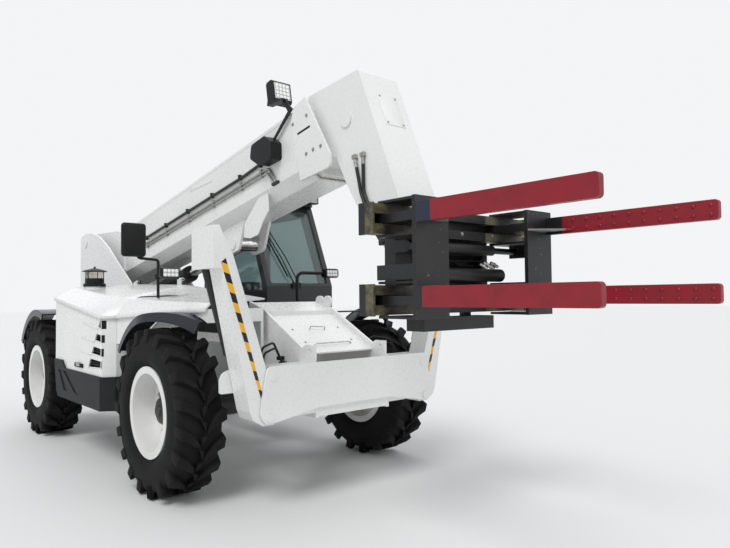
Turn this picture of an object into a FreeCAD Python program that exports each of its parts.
import FreeCAD, Part
import math
import os

# A rigid-frame telescopic handler with front stabilisers and a two-arm clamp.
# Frame: X forward, Y to the vehicle's left, Z up, floor at Z = 0. Lengths in mm, angles in degrees.
# Places along the vehicle are measured from the front axle and moved by axle_x at the end.

SIZES = [
    # name, value, what it is
    ("wheelbase", 3300, "front axle to rear axle"),
    ("track", 2170, "between the middles of two tyres on one axle"),
    ("tyre_radius", 665, "axle to the tips of the lugs, which is also the axle's height"),
    ("tyre_width", 380, "across the sidewalls"),
    ("lug_height", 44, "tread lug above the carcass"),
    ("lug_count", 15, "lugs on each half of the tread"),
    ("bead_radius", 318, "where the tyre sits on the rim"),
    ("bead_fit", 0.3, "tyre clear of its rim"),
    ("rim_lip", 362, "outer radius of the rim's flange"),
    ("rim_width", 330, "between the outsides of the rim's flanges"),
    ("rim_wall", 12, "rim and disc plate"),
    ("pin_side", 930, "steering pin from the middle plane"),
    ("yoke_half", 110, "half the height between the tabs of an axle's yoke"),
    ("yoke_plate", 30, "tab of an axle's yoke"),
    ("hub_radius", 150, "wheel hub flange"),
    ("axle_tube", 105, "radius of the axle tube"),
    ("frame_half", 375, "outer face of the frame's side plates from the middle plane"),
    ("frame_plate", 25, "frame side plate"),
    ("frame_top", 1150, "top edge of the long frame plates"),
    ("frame_low", 800, "bottom edge of the frame plates over the axles"),
    ("belly_low", 560, "bottom edge of the frame plates between the axles"),
    ("tail", 1260, "rear axle to the rearmost face"),
    ("nose_back", 85, "rear end of the raised nose"),
    ("nose_back_top", 1534, "top of the nose at its rear end"),
    ("nose_bend", 320, "where the nose's top edge bends down"),
    ("nose_top", 1461, "top of the nose at its bend"),
    ("nose_front", 880, "front end of the nose's slope"),
    ("nose_foot", 1168, "top of the nose at its front end"),
    ("cover_plate", 12, "sloping cover between the side plates"),
    ("cover_sink", 45, "cover below the edges of the side plates"),
    ("front_plate_x", 1055, "rear face of the front plate"),
    ("front_plate_wall", 20, "front plate"),
    ("cheek_plate", 20, "plates behind the stabiliser legs"),
    ("leg_depth", 188, "stabiliser leg along the vehicle"),
    ("foot_depth", 330, "foot of the stabiliser leg along the vehicle"),
    ("leg_gap", 5, "clearance at each side of a leg"),
    ("leg_pin_y", 789, "pivot of the stabiliser leg from the middle plane"),
    ("leg_pin_z", 707, "pivot of the stabiliser leg above the floor"),
    ("leg_pin", 32, "radius of the stabiliser pivot pin"),
    ("pin_fit", 0.5, "radial clearance of a pin in its bore"),
    ("stab_top_y", 1173, "upper pin of the stabiliser cylinder from the middle plane"),
    ("stab_top_z", 1904, "upper pin of the stabiliser cylinder above the floor"),
    ("stab_low_y", 915, "lower pin of the stabiliser cylinder from the middle plane"),
    ("stab_low_z", 985, "lower pin of the stabiliser cylinder above the floor"),
    ("stab_barrel", 38, "outer radius of the stabiliser cylinder"),
    ("stab_rod", 24, "radius of the stabiliser cylinder's rod"),
    ("stab_pin", 20, "radius of the stabiliser cylinder's pins"),
    ("stab_gland", 175, "lower pin to the stabiliser cylinder's gland"),
    ("pin_behind", 970, "boom pivot behind the rear axle"),
    ("tower_pin_z", 2350, "boom pivot above the floor"),
    ("tower_plate", 25, "tower side plate"),
    ("boom_pin", 45, "radius of the boom pivot pin"),
    ("pin_collar", 64, "radius of the boom pivot pin's collars"),
    ("boom_angle", 10.1, "boom above level as it stands"),
    ("boom_half", 250, "outer half width of the fixed boom section"),
    ("boom_wall", 12, "boom plate"),
    ("boom_top", 102, "boom's top face below the line through its pivot"),
    ("boom_side", 525, "straight part of the boom's side"),
    ("boom_keel", 95, "depth of the boom's folded underside"),
    ("boom_fold", 100, "width of the slope at each side of the underside"),
    ("boom_start", 250, "pivot to the rear end of the boom's box"),
    ("boom_end", 5040, "pivot to the front end of the boom's box"),
    ("boom_cheek", 16, "plate at the boom's side round its pivot"),
    ("collar_plate", 22, "plate at the boom's side at its mouth"),
    ("section_gap", 12, "space for the wear pads between boom sections"),
    ("pad_fit", 0.4, "running clearance at a wear pad"),
    ("head_reach", 5919, "pivot to the head pin along the boom"),
    ("head_drop", 1613, "head pin below the line through the boom's pivot"),
    ("head_half", 195, "half width of the boom head"),
    ("head_wall", 15, "head plate"),
    ("head_pin", 35, "radius of the head pin"),
    ("lift_base_back", 300, "lower pin of the lift cylinder behind the rear axle"),
    ("lift_base_z", 1490, "lower pin of the lift cylinder above the floor"),
    ("lift_reach", 3569, "upper pin of the lift cylinder along the boom"),
    ("lift_drop", 890, "upper pin of the lift cylinder below the pivot's line"),
    ("lift_barrel", 85, "outer radius of the lift cylinder"),
    ("lift_rod", 50, "radius of the lift cylinder's rod"),
    ("lift_barrel_long", 1800, "lower pin to the lift cylinder's gland"),
    ("lift_pin", 40, "radius of the lift cylinder's lower pin"),
    ("rail_half", 745, "half length of the clamp's rails"),
    ("rail_depth", 115, "clamp rail along the vehicle"),
    ("rail_web", 45, "back plate of a clamp rail"),
    ("rail_flange", 60, "height of a rail's flange"),
    ("rail_x", 195, "head pin to the rear face of the rails"),
    ("arm_y", 660, "middle of a clamp blade from the middle plane"),
    ("arm_forward", 280, "rails to the front face of a clamp arm's plate"),
    ("arm_wide", 280, "clamp arm across the vehicle"),
    ("arm_plate", 28, "upright plate of a clamp arm"),
    ("blade", 40, "clamp blade across its faces"),
    ("blade_high", 118, "clamp blade's height"),
    ("blade_reach", 1120, "clamp blade beyond the arm's plate"),
    ("blade_tip", 22, "rounding of a blade's tip"),
    ("ram_closed", 470, "clamp cylinder's rear end past the middle plane"),
    ("ram_open", 380, "clamp cylinder's gland from the middle plane"),
    ("ram_rod", 22, "radius of a clamp cylinder's rod"),
    ("cab_clear", 1050, "rear axle to the rear face of the cab"),
    ("cab_inner", 375, "cab's boom-side face from the middle plane"),
    ("cab_outer", 1245, "cab's door-side face from the middle plane"),
    ("cab_wall", 45, "cab pillars and walls"),
    ("cab_front", -820, "foot of the windscreen"),
    ("cab_floor", 780, "underside of the cab"),
    ("cab_sill", 1560, "top of the cab's lower panels"),
    ("cab_bend", 1690, "height at which the windscreen starts to lean back"),
    ("cab_lean", 400, "windscreen's lean at the roof"),
    ("cab_top", 2640, "underside of the cab roof"),
    ("roof_thick", 115, "cab roof"),
    ("roof_edge", 40, "slope round the roof's top"),
    ("door_gap", 7, "gap round the door"),
    ("door_sill", 40, "bottom of the door above the cab's underside"),
    ("seat_wide", 480, "seat cushion across"),
    ("seat_high", 300, "seat's base"),
    ("seat_thick", 120, "seat cushion"),
    ("seat_long", 510, "seat cushion along"),
    ("seat_back", 660, "height of the seat's back"),
    ("wheel_rise", 640, "steering wheel above the cab floor"),
    ("wheel_lean", 200, "steering column's lean"),
    ("wheel_radius", 175, "steering wheel's rim"),
    ("wheel_tube", 14, "radius of the steering wheel's rim tube"),
    ("hood_clear", 740, "rear axle to the rear edge of the hood"),
    ("hood_side", 1260, "outer face of the engine hood from the middle plane"),
    ("hood_inner", 425, "hood's boom-side edge from the middle plane"),
    ("hood_front", 420, "front edge of the hood"),
    ("hood_corner", -1020, "front end of the hood's side"),
    ("hood_wall", 14, "hood panel"),
    ("hood_rim", 32, "lid's rim over the side panels"),
    ("panel_inset", 19, "side panels inside the lid's outer face"),
    ("hood_low", 925, "foot of the hood's side at its rear"),
    ("hood_foot", 846, "foot of the hood's side at its front"),
    ("hinge_drop", 20, "hinge line above the lid's inner edge"),
    ("skirt_low", 535, "lower edge of the dark skirt"),
    ("skirt_wall", 29, "skirt's wall"),
    ("fender_radius", 785, "outer radius of a rear wheel arch"),
    ("arch_radius", 820, "outer radius of a front wheel arch"),
    ("arch_ahead", 56, "front arch centre ahead of its axle"),
    ("arch_drop", 30, "front arch centre below its axle"),
    ("arch_clear", 715, "radius kept free around a wheel"),
    ("fender_wall", 14, "wheel arch"),
    ("fender_lip", 75, "depth of a wheel arch's outer lip"),
    ("fender_inner", 975, "wheel arch's body-side edge from the middle plane"),
    ("fender_outer", 1268, "wheel arch's outer edge from the middle plane"),
    ("tank_high", 225, "height of the tank under the cab"),
    ("lamp_x", -400, "lamp arms"),
    ("lamp_y", 885, "lamp from the middle plane"),
    ("lamp_z", 1815, "lamp arm above the floor"),
    ("lamp_tube", 17, "radius of a lamp arm's tube"),
    ("mirror_high", 340, "mirror's height"),
    ("mirror_wide", 270, "mirror's width"),
]

doc = FreeCAD.newDocument("telehandler")
sheet = doc.addObject("Spreadsheet::Sheet", "sizes")
for row, (name, value, note) in enumerate(SIZES, 1):
    sheet.set(f"A{row}", name)
    sheet.set(f"B{row}", str(value))
    sheet.set(f"C{row}", note)
    sheet.setAlias(f"B{row}", name)
doc.recompute()
size = {name: float(sheet.get(name)) for name, value, note in SIZES}

Vec = FreeCAD.Vector
UP = Vec(0, 0, 1)
ACROSS = Vec(0, 1, 0)
SIDES = (("left", 1), ("right", -1))
nodes = []


def add_node(obj, label):
    obj.Label = label
    nodes.append(obj)
    return obj


def new_body(label):
    body = doc.addObject("PartDesign::Body", label)
    body.AllowCompound = True
    return add_node(body, label)


def new_shape(label, solids):
    feature = doc.addObject("Part::Feature", label)
    feature.Shape = solids[0] if len(solids) == 1 else Part.makeCompound(solids)
    return add_node(feature, label)


def origin_item(body, role):
    return [item for item in body.Origin.OriginFeatures if item.Role == role][0]


def closed_line(points):
    corners = [Vec(point[0], point[1], 0) for point in points]
    return [Part.LineSegment(a, b) for a, b in zip(corners, corners[1:] + corners[:1])]


def round_line(points):
    """Closed outline; each point is (a, b, radius) and its corner becomes a tangent arc."""
    corners = [Vec(point[0], point[1], 0) for point in points]
    entries = []
    for index, point in enumerate(points):
        here = corners[index]
        radius = point[2] if len(point) > 2 else 0
        if not radius:
            entries.append((here, here, None))
            continue
        back = (corners[index - 1] - here).normalize()
        ahead = (corners[(index + 1) % len(points)] - here).normalize()
        half = back.getAngle(ahead) / 2
        reach = radius / math.tan(half)
        middle = here + (back + ahead).normalize() * (radius / math.sin(half) - radius)
        entries.append((here + back * reach, here + ahead * reach, middle))
    edges = []
    for index, (start, end, middle) in enumerate(entries):
        if middle is not None:
            edges.append(Part.Arc(start, middle, end))
        following = entries[(index + 1) % len(entries)][0]
        if (following - end).Length > 1e-6:
            edges.append(Part.LineSegment(end, following))
    return edges


def ring(a, b, radius):
    return [Part.Circle(Vec(a, b, 0), UP, radius)]


def box_line(a_low, a_high, b_low, b_high, radius=0):
    corners = ((a_low, b_low), (a_high, b_low), (a_high, b_high), (a_low, b_high))
    return round_line([(a, b, radius) for a, b in corners])


def sketch_on(body, plane, edges, start):
    sketch = body.newObject("Sketcher::SketchObject", body.Name + "_sketch")
    sketch.AttachmentSupport = [(origin_item(body, plane + "_Plane"), "")]
    sketch.MapMode = "FlatFace"
    offset = -start if plane == "XZ" else start
    sketch.AttachmentOffset = FreeCAD.Placement(Vec(0, 0, offset), FreeCAD.Rotation())
    sketch.addGeometry(edges, False)
    return sketch


def set_length(feature, prop, length):
    if isinstance(length, str):
        feature.setExpression(prop, "sizes." + length)
    else:
        setattr(feature, prop, length)


def pad(body, plane, edges, start, length):
    """Adds a prism from start along +X (YZ), -Y (XZ) or +Z (XY); length is a number or a size's name."""
    feature = body.newObject("PartDesign::Pad", body.Name + "_pad")
    feature.Profile = sketch_on(body, plane, edges, start)
    set_length(feature, "Length", length)
    return feature


def pocket(body, plane, edges, start, length):
    """Removes the same kind of prism."""
    feature = body.newObject("PartDesign::Pocket", body.Name + "_pocket")
    feature.Profile = sketch_on(body, plane, edges, start)
    feature.Reversed = True
    set_length(feature, "Length", length)
    return feature


def spin(body, edges):
    """Turns an outline in the YZ plane about the Y axis."""
    feature = body.newObject("PartDesign::Revolution", body.Name + "_spin")
    sketch = sketch_on(body, "YZ", edges, 0)
    feature.Profile = sketch
    feature.ReferenceAxis = (sketch, ["H_Axis"])
    feature.Angle = 360
    return feature


def block(body, low, high):
    """A box between two corners, as a pad along Z."""
    return pad(body, "XY", box_line(low[0], high[0], low[1], high[1]), low[2], high[2] - low[2])


def side_start(side, inner, thickness):
    """Start of a pad towards -Y that fills inner .. inner + thickness on one side."""
    return inner + thickness if side > 0 else -inner


def mirror_points(points, side):
    return [(side * point[0],) + tuple(point[1:]) for point in points]


def turned(x, z, angle):
    """Placement at (x, 0, z) whose own X axis is raised by angle."""
    return FreeCAD.Placement(Vec(x, 0, z), FreeCAD.Rotation(ACROSS, -angle))


def line_solid(points, radius, bend):
    """A round bar or hose along straight runs joined by arcs of radius bend."""
    spots = [Vec(*point) for point in points]
    edges = []
    start = spots[0]
    for before, corner, after in zip(spots, spots[1:], spots[2:]):
        back = (before - corner).normalize()
        ahead = (after - corner).normalize()
        half = back.getAngle(ahead) / 2
        reach = bend / math.tan(half)
        middle = corner + (back + ahead).normalize() * (bend / math.sin(half) - bend)
        edges.append(Part.LineSegment(start, corner + back * reach).toShape())
        edges.append(Part.Arc(corner + back * reach, middle, corner + ahead * reach).toShape())
        start = corner + ahead * reach
    edges.append(Part.LineSegment(start, spots[-1]).toShape())
    circle = Part.Circle(spots[0], spots[1] - spots[0], radius).toShape()
    swept = Part.Wire(edges).makePipeShell([Part.Wire([circle])], True, False)
    return swept if swept.ShapeType == "Solid" else Part.Solid(swept)


def box_solid(low, high):
    return Part.makeBox(high[0] - low[0], high[1] - low[1], high[2] - low[2], Vec(*low))


def fused(solids):
    return solids[0].multiFuse(solids[1:]).removeSplitter().Solids


# Places that several pieces share
rear_axle = -size["wheelbase"]
rear_end = rear_axle - size["tail"]
tower_pin_x = rear_axle - size["pin_behind"]
lift_base_x = rear_axle - size["lift_base_back"]
cab_rear = rear_axle + size["cab_clear"]
hood_rear = rear_axle + size["hood_clear"]
tower_front = hood_rear + 80
cos_boom = math.cos(math.radians(size["boom_angle"]))
sin_boom = math.sin(math.radians(size["boom_angle"]))


def boom_point(along, above):
    """Place of a point given along and above the boom's own line."""
    x = tower_pin_x + along * cos_boom - above * sin_boom
    z = size["tower_pin_z"] + along * sin_boom + above * cos_boom
    return x, z


head_x, head_z = boom_point(size["head_reach"], -size["head_drop"])
rail_rear = size["rail_x"]
rail_front = rail_rear + size["rail_depth"]
arm_face = rail_front + size["arm_forward"]
tine_tip_x = head_x + arm_face + size["blade_reach"]
axle_x = -(tine_tip_x + rear_end) / 2
axle_z = size["tyre_radius"]
wheel_y = size["track"] / 2
home = FreeCAD.Placement(Vec(axle_x, 0, 0), FreeCAD.Rotation())

# Frame side plates, from the nose to the tower
plates = new_body("frame_plates")
front = size["front_plate_x"]
nose_low = size["belly_low"] + 90
plate_rear = rear_end + 110
lug_top = size["nose_foot"] + 27
ledge = 1070
FRAME_EDGE = [
    # x, z
    (plate_rear, size["frame_low"]), (rear_axle + 540, size["frame_low"]),
    (rear_axle + 740, size["belly_low"]), (-760, size["belly_low"]), (-560, size["frame_low"]),
    (300, size["frame_low"]), (480, nose_low), (front, nose_low), (front, ledge),
    (front - 20, ledge), (front - 20, lug_top), (size["nose_front"] + 40, lug_top),
    (size["nose_front"], size["nose_foot"]), (size["nose_bend"], size["nose_top"]),
    (size["nose_back"], size["nose_back_top"]), (size["nose_back"] - 25, size["frame_top"]),
    (plate_rear, size["frame_top"]),
]
for side_name, side in SIDES:
    start = side_start(side, size["frame_half"] - size["frame_plate"], size["frame_plate"])
    pad(plates, "XZ", closed_line(FRAME_EDGE), start, "frame_plate")
    lug_hole = ring(front - 75, lug_top - 42, 17)
    pocket(plates, "XZ", lug_hole, start, "frame_plate")
lobe_start = side_start(1, size["frame_half"] - size["frame_plate"], size["frame_plate"])
for lobe_x in (size["nose_back"] + 45, size["nose_back"] + 165):
    pad(plates, "XZ", ring(lobe_x, size["nose_back_top"] - 14, 56), lobe_start, "frame_plate")
plates.Placement = home

# Cross members between the side plates
cross = new_body("frame_cross")
inside = size["frame_half"] - size["frame_plate"]
nose_panel_low = size["nose_top"] - size["cover_sink"] + 5
CROSS_MEMBERS = [
    # x low, x high, z low, z high
    (front - 70, front, 660, 1050),
    (205, 235, 840, nose_panel_low),
    (-900, -780, 600, 780),
    ((rear_axle - 100) / 2, (rear_axle + 100) / 2, 600, 760),
    (rear_axle + 740, rear_axle + 860, 600, 780),
    (rear_axle + 300, rear_axle + 360, 830, 1120),
    (plate_rear + 10, plate_rear + 50, 830, 1120),
]
for x_low, x_high, z_low, z_high in CROSS_MEMBERS:
    block(cross, (x_low, -inside, z_low), (x_high, inside, z_high))
cross.Placement = home

# Nose panel at the rear and the sloping cover in front of it, between the side plates
cover = new_body("nose_cover")
drop = size["cover_sink"]
thick = size["cover_plate"]
cover_line = [
    (size["nose_bend"], size["nose_top"] - drop),
    (size["nose_front"], size["nose_foot"] - drop),
    (size["nose_front"], size["nose_foot"] - drop - thick),
    (size["nose_bend"], size["nose_top"] - drop - thick),
]
pad(cover, "XZ", closed_line(cover_line), inside, 2 * inside)
rise = size["nose_back_top"] - size["nose_top"]
panel_line = [
    (size["nose_back"] + 2, size["nose_back_top"] - 12), (size["nose_bend"] + 18, size["nose_top"] - 18),
    (size["nose_bend"] + 18, size["nose_top"] - drop - thick), (size["nose_bend"], size["nose_top"] - drop - thick),
    (size["nose_bend"], size["nose_top"] - 24), (size["nose_back"] + 2, size["nose_back_top"] - 24),
]
pad(cover, "XZ", closed_line(panel_line), inside, 2 * inside)
cover.Placement = home

# Front plate with the stabiliser pins
plate = new_body("front_plate")
PLATE_EDGE = [
    # y, z, corner radius
    (355, 734, 0), (820, 655, 60), (866, 722, 60), (854, 840, 0), (805, 1072, 50),
]
edge = PLATE_EDGE + [(-y, z, r) for y, z, r in reversed(PLATE_EDGE)]
pad(plate, "YZ", round_line(edge), front, "front_plate_wall")
leg_front = front - size["leg_gap"]
leg_rear = leg_front - size["leg_depth"]
cheek_x = leg_rear - size["leg_gap"] - size["cheek_plate"]
CHEEK_EDGE = [
    # y, z, corner radius
    (size["frame_half"], 690, 0), (815, 650, 40), (862, 720, 20), (868, 860, 0), (900, 880, 0),
    (1070, 880, 15), (1070, 1034, 80), (860, 1062, 0), (size["frame_half"], 1062, 0),
]
pin_head = 10
web_side = 560
web_high = 1050
for side_name, side in SIDES:
    pad(plate, "YZ", round_line(mirror_points(CHEEK_EDGE, side)), cheek_x, "cheek_plate")
    pin = ring(side * size["leg_pin_y"], size["leg_pin_z"], size["leg_pin"])
    pad(plate, "YZ", pin, cheek_x, front + size["front_plate_wall"] + pin_head - cheek_x)
    web = box_line(*sorted((side * size["frame_half"], side * web_side)), 690, web_high)
    pad(plate, "YZ", web, cheek_x, front - cheek_x)
    stub = ring(side * size["stab_low_y"], size["stab_low_z"], size["stab_pin"])
    pad(plate, "YZ", stub, cheek_x - pin_head - 1, pin_head + 1)
plate.Placement = home

# Valve block behind each cheek, with two hoses up to the frame's side
for side_name, side in SIDES:
    block_x = cheek_x - 0.3
    low_y, high_y = sorted((side * 640, side * 720))
    parts = [box_solid((block_x - 90, low_y, 900), (block_x, high_y, 1040))]
    for offset, radius, top in ((-62, 9, 1120), (-32, 9, 1080)):
        route = [(block_x + offset, side * 680, 1030), (block_x + offset, side * 680, top + 60),
                 (block_x + offset - 80, side * 520, top + 90), (block_x + offset - 160, side * (size["frame_half"] + 30), top - 40)]
        parts.append(line_solid(route, radius, 60))
        parts.append(box_solid((block_x + offset - 180, min(side * (size["frame_half"] + 0.3), side * (size["frame_half"] + 50)), top - 60),
                               (block_x + offset - 140, max(side * (size["frame_half"] + 0.3), side * (size["frame_half"] + 50)), top - 30)))
    new_shape("stabiliser_lines_" + side_name, fused(parts)).Placement = home

# Stabiliser legs, folded up as they stand: a tapering box, and a foot with room for the cylinder's end
LEG_EDGE = [
    # y, z of the front face
    (712, 690), (745, 652), (835, 652), (915, 700), (941, 760), (1078, 1411), (1152, 1765), (1218, 1765),
    (1218, 2061), (1173, 2064), (1123, 1953), (1071, 1867), (967, 1547), (938, 1462), (804, 1043),
]
FOOT_EDGE = [(1125, 1765), (1218, 1765), (1218, 2061), (1173, 2064), (1123, 1953), (1110, 1925)]
SOLE_EDGE = [(1206, 1765), (1218, 1765), (1218, 2061), (1206, 2062)]
foot_rear = leg_front - size["foot_depth"]
foot_cheek = size["cheek_plate"]
stab_x = (foot_rear + leg_rear) / 2
for side_name, side in SIDES:
    leg = new_body("stabiliser_leg_" + side_name)
    pad(leg, "YZ", closed_line(mirror_points(LEG_EDGE, side)), leg_rear, "leg_depth")
    for start in (foot_rear, leg_rear - foot_cheek):
        pad(leg, "YZ", closed_line(mirror_points(FOOT_EDGE, side)), start, "cheek_plate")
    pad(leg, "YZ", closed_line(mirror_points(SOLE_EDGE, side)), foot_rear, leg_rear - foot_rear)
    pin = ring(side * size["stab_top_y"], size["stab_top_z"], size["stab_pin"])
    pad(leg, "YZ", pin, foot_rear, leg_rear - foot_rear)
    bore = ring(side * size["leg_pin_y"], size["leg_pin_z"], size["leg_pin"] + size["pin_fit"])
    pocket(leg, "YZ", bore, leg_rear, "leg_depth")
    leg.Placement = home

# Stabiliser cylinders, from the foot of the leg down to the ear on the front plate
stab_in = size["stab_top_y"] - size["stab_low_y"]
stab_down = size["stab_top_z"] - size["stab_low_z"]
stab_long = math.hypot(stab_in, stab_down)
stab_lean = math.degrees(math.atan2(stab_in, stab_down))
stab_gland = stab_long - size["stab_gland"]
eye_half = (leg_rear - foot_rear) / 2 - foot_cheek - size["leg_gap"]
rod_eye_half = 30
barrel_eye = size["stab_pin"] + 10
for side_name, side in SIDES:
    barrel = new_body("stabiliser_barrel_" + side_name)
    pad(barrel, "XY", ring(0, 0, size["stab_barrel"]), -stab_gland, stab_gland - 45)
    pad(barrel, "XY", ring(0, 0, size["stab_rod"] + 1), -60, 60)
    pad(barrel, "YZ", ring(0, 0, barrel_eye), -eye_half, 2 * eye_half)
    pocket(barrel, "YZ", ring(0, 0, size["stab_pin"] + size["pin_fit"]), -eye_half, 2 * eye_half)
    pocket(barrel, "XY", ring(0, 0, size["stab_rod"] + 1), -stab_gland - 1, stab_gland - 120)
    rod = new_body("stabiliser_rod_" + side_name)
    pad(rod, "XY", ring(0, 0, size["stab_rod"]), -stab_long + 30, stab_long - 250)
    pad(rod, "YZ", ring(0, -stab_long, 36), -rod_eye_half, 2 * rod_eye_half)
    pocket(rod, "YZ", ring(0, -stab_long, size["stab_pin"] + 1), -rod_eye_half, 2 * rod_eye_half)
    spot = FreeCAD.Placement(Vec(stab_x + axle_x, side * size["stab_top_y"], size["stab_top_z"]),
                             FreeCAD.Rotation(Vec(1, 0, 0), -side * stab_lean))
    barrel.Placement = spot
    rod.Placement = spot


# One tyre: flat-sided carcass with two rows of slanting lugs, the second row half a pitch on
def tyre_shape():
    sides = 2 * int(size["lug_count"])
    pitch = 2 * math.pi / sides
    carcass = size["tyre_radius"] - size["lug_height"]
    bulge = size["tyre_width"] / 2
    bead_y = size["rim_width"] / 2 - size["rim_wall"] - 1
    seat = (size["bead_radius"] + size["bead_fit"]) / math.cos(pitch / 2)
    section = [
        # y, radius
        (-bead_y, seat), (-bead_y, size["rim_lip"] + 9), (-bulge, 480), (-bulge + 16, carcass),
        (bulge - 16, carcass), (bulge, 480), (bead_y, size["rim_lip"] + 9), (bead_y, seat),
    ]

    def spot(index, turn):
        y, radius = section[index % len(section)]
        return Vec(radius * math.sin(turn * pitch), y, radius * math.cos(turn * pitch))

    faces = []
    for index in range(len(section)):
        for turn in range(sides):
            corners = [spot(index, turn), spot(index + 1, turn), spot(index + 1, turn + 1), spot(index, turn + 1)]
            faces.append(Part.Face(Part.makePolygon(corners + corners[:1])))
    shell = Part.makeShell(faces)
    shell.sewShape()
    body = Part.makeSolid(shell)
    if body.Volume < 0:
        body.reverse()
    lug_half = 17
    lean = 74
    top = math.sqrt(size["tyre_radius"] ** 2 - (lean + lug_half) ** 2)
    bar = [
        # x, y of the lug's top
        (lean - lug_half, -4), (lean + lug_half, -4), (-lean + lug_half, bulge - 8), (-lean - lug_half, bulge - 8),
    ]
    lugs = []
    lowest = 180 - math.degrees(math.atan2(lean + lug_half, top))
    for hand, first in ((1, 0), (-1, 1)):
        corners = [Vec(x, hand * y, carcass - 30) for x, y in bar]
        prism = Part.Face(Part.makePolygon(corners + corners[:1])).extrude(UP * (top - carcass + 30))
        for number in range(int(size["lug_count"])):
            copy = prism.copy()
            copy.rotate(Vec(0, 0, 0), ACROSS, lowest + math.degrees(pitch * (first + 2 * number)))
            lugs.append(copy)
    return body.multiFuse(lugs).removeSplitter()


# Axles with their yokes, knuckles, rims and tyres
AXLES = [("front", 0), ("rear", rear_axle)]
yoke_top = size["yoke_half"]
yoke_plate = size["yoke_plate"]
housing = [(-230, 0), (230, 0), (210, 190, 60), (-210, 190, 60)]
tab_half = 62
kingpin = 28
rubber = tyre_shape()
for axle_name, place in AXLES:
    spot = FreeCAD.Placement(Vec(axle_x + place, 0, axle_z), FreeCAD.Rotation())
    axle = new_body("axle_" + axle_name)
    tube_end = size["pin_side"] - 170
    pad(axle, "XZ", ring(0, 0, size["axle_tube"]), tube_end, 2 * tube_end)
    spin(axle, round_line(housing))
    for side_name, side in SIDES:
        web = box_line(*sorted((side * (tube_end - 30), side * tube_end)), -yoke_top - yoke_plate, yoke_top + yoke_plate)
        pad(axle, "YZ", web, -70, 140)
        tab_end = side * (size["pin_side"] + 55)
        for level in (-yoke_top - yoke_plate, yoke_top):
            tab = [(-tab_half, side * (tube_end - 1)), (tab_half, side * (tube_end - 1)),
                   (tab_half - 7, tab_end, 50), (7 - tab_half, tab_end, 50)]
            pad(axle, "XY", round_line(tab), level, "yoke_plate")
            pin_low = level - (12 if level > 0 else 0)
            pad(axle, "XY", ring(0, side * size["pin_side"], kingpin), pin_low, yoke_plate + 12)
        seat_top = size["frame_low"] - axle_z
        seat = box_line(-150, 150, *sorted((side * 270, side * 380)))
        pad(axle, "XY", seat, 60, seat_top - 60)
    axle.Placement = spot
    for side_name, side in SIDES:
        label = axle_name + "_" + side_name
        hub = FreeCAD.Placement(Vec(axle_x + place, side * wheel_y, axle_z), FreeCAD.Rotation())
        knuckle = new_body("knuckle_" + label)
        pin_off = side * (size["pin_side"] - wheel_y)
        face = 30
        pin_clear = 12 + size["bead_fit"]
        pad(knuckle, "XY", ring(0, pin_off, 70), -yoke_top + pin_clear, 2 * (yoke_top - pin_clear))
        reach = abs(pin_off) - face
        pad(knuckle, "XZ", ring(0, 0, 85), side_start(side, -abs(pin_off), reach), reach)
        flange = face + 25 + size["bead_fit"]
        pad(knuckle, "XZ", ring(0, 0, size["hub_radius"]), side_start(side, -flange, 25), 25)
        knuckle.Placement = hub

        rim = new_body("rim_" + label)
        half = size["rim_width"] / 2
        wall = size["rim_wall"]
        bead = size["bead_radius"]
        lip = size["rim_lip"]
        disc = -face
        section = [
            # y, radius
            (-half, lip), (-half, bead - wall), (disc, bead - wall - 12), (disc, 40), (disc + wall, 40),
            (disc + wall, bead - wall - 12), (half, bead - wall), (half, lip), (half - wall, lip),
            (half - wall, bead), (-half + wall, bead), (-half + wall, lip),
        ]
        spin(rim, closed_line(mirror_points(section, side)))
        pad(rim, "XZ", ring(0, 0, 95), side_start(side, disc, 70), 70)
        rim.Placement = hub
        new_shape("tyre_" + label, [rubber]).Placement = hub

# Tower plates that carry the boom's pivot
tower_rear = rear_end + 60
TOWER_EDGE = [
    # x, z, corner radius
    (tower_rear, 900, 0), (tower_rear, 2440, 60), (tower_pin_x - 30, 2475, 60), (tower_pin_x + 250, 2468, 100),
    (tower_pin_x + 531, 2394, 120), (tower_pin_x + 877, 2232, 0), (tower_pin_x + 1188, 2034, 0),
    (tower_front - 165, 1772, 0), (tower_front, 1640, 40), (tower_front, 1160, 0), (tower_front - 120, 900, 0),
]
tower = new_body("tower_plates")
for side_name, side in SIDES:
    start = side_start(side, size["frame_half"], size["tower_plate"])
    pad(tower, "XZ", round_line(TOWER_EDGE), start, "tower_plate")
    bore = ring(tower_pin_x, size["tower_pin_z"], size["boom_pin"] + size["pin_fit"])
    pocket(tower, "XZ", bore, start, "tower_plate")
tower.Placement = home

pin = new_body("boom_pivot_pin")
collar_low = size["frame_half"] + size["tower_plate"] + size["bead_fit"]
collar_high = collar_low + 14
pin_section = [
    # y, radius
    (-collar_high, 0), (-collar_high, size["pin_collar"]), (-collar_low, size["pin_collar"]),
    (-collar_low, size["boom_pin"]), (collar_low, size["boom_pin"]), (collar_low, size["pin_collar"]),
    (collar_high, size["pin_collar"]), (collar_high, 0),
]
spin(pin, closed_line(pin_section))
pin.Placement = FreeCAD.Placement(Vec(tower_pin_x + axle_x, 0, size["tower_pin_z"]), FreeCAD.Rotation())

# Rear end: upright plate and bumper block
rear = new_body("rear_frame")
outside = size["frame_half"]
block(rear, (tower_rear, -outside, 900), (tower_rear + 30, outside, 1700))
block(rear, (rear_end, -900, 780), (tower_rear, 900, 1180))
block(rear, (tower_rear, -120, 820), (plate_rear, 120, 900))
rear.Placement = home

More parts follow.
